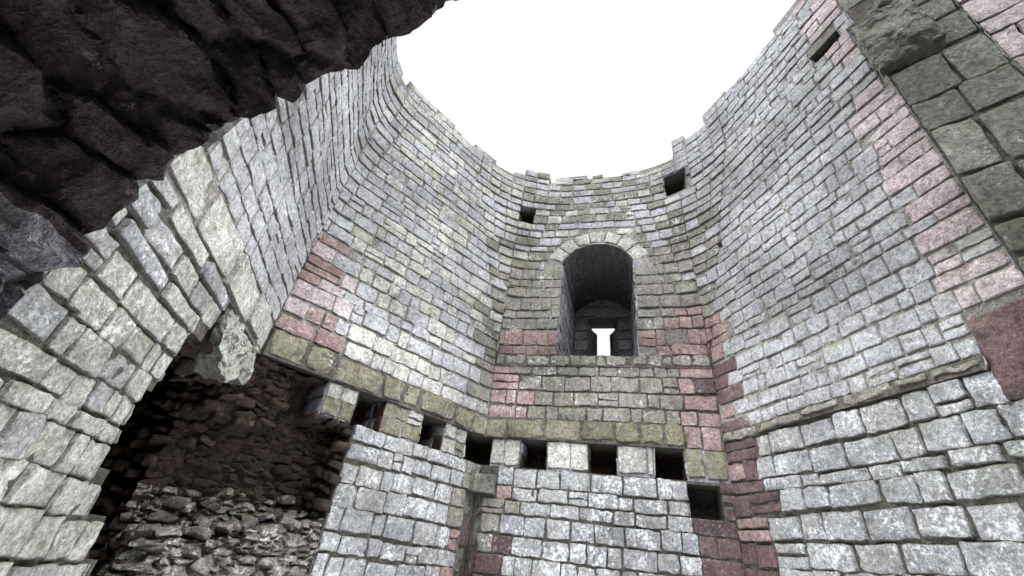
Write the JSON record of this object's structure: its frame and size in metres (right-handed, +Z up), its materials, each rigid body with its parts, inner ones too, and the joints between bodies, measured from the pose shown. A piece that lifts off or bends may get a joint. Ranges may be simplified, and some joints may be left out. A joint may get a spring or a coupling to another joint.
{
  "type": "ruined stone keep tower",
  "caption": "Ruined six-sided stone keep, open to the sky, with thick coursed walls, an arched window recess, joist sockets, a doorway and a breached corner.",
  "frame": {"origin": "on the ground at the middle of the hexagonal room's bounding box", "axes": "+Z up, +Y out through the wall with the window, +X to the right when looking at the window from the room"},
  "size_m": [11.3348, 9.8162, 8.6877],
  "materials": {
    "limestone": "weathered coursed stone with lichen",
    "grey_green_sandstone": "weathered stone with moss stain",
    "red_sandstone": "weathered quoin stone",
    "rubble_core": "rough rubble and mortar"
  },
  "bodies": {
    "root": {"plinth_course": "grey_green_sandstone", "lower_back_wall": "limestone", "lower_back_right_wall": "limestone", "lower_front_right_wall": "limestone", "lower_front_left_wall": "limestone", "lower_back_left_wall": "limestone", "door_side_left": "limestone", "door_side_right": "limestone", "door_vault_left": "rubble_core", "door_vault_right": "rubble_core", "breach_core_left": "rubble_core", "breach_core_right": "rubble_core", "breach_lump": "rubble_core", "breach_rubble": "rubble_core", "breach_fragment": "rubble_core", "joist_backing_left": "limestone", "joist_piers_left": "limestone", "joist_backing_back": "limestone", "joist_piers_back": "limestone", "lintel_course_left": "grey_green_sandstone", "lintel_course_back": "grey_green_sandstone", "string_course_right": "grey_green_sandstone", "upper_back_left_wall": "limestone", "upper_front_left_wall": "limestone", "upper_front_wall": "limestone", "upper_front_right_wall": "limestone", "gap_jamb": "grey_green_sandstone", "jamb_overhang": "grey_green_sandstone", "upper_back_right_wall": "limestone", "window_sill_wall": "limestone", "sill_course": "limestone", "window_side_left": "limestone", "window_side_right": "limestone", "window_vault": "limestone", "window_arch": "grey_green_sandstone", "loop_sill": "grey_green_sandstone", "loop_jamb_left": "grey_green_sandstone", "loop_jamb_right": "grey_green_sandstone", "loop_lintel": "grey_green_sandstone", "corner_blocks": "red_sandstone", "chase_block": "grey_green_sandstone"}
  },
  "joints": []
}
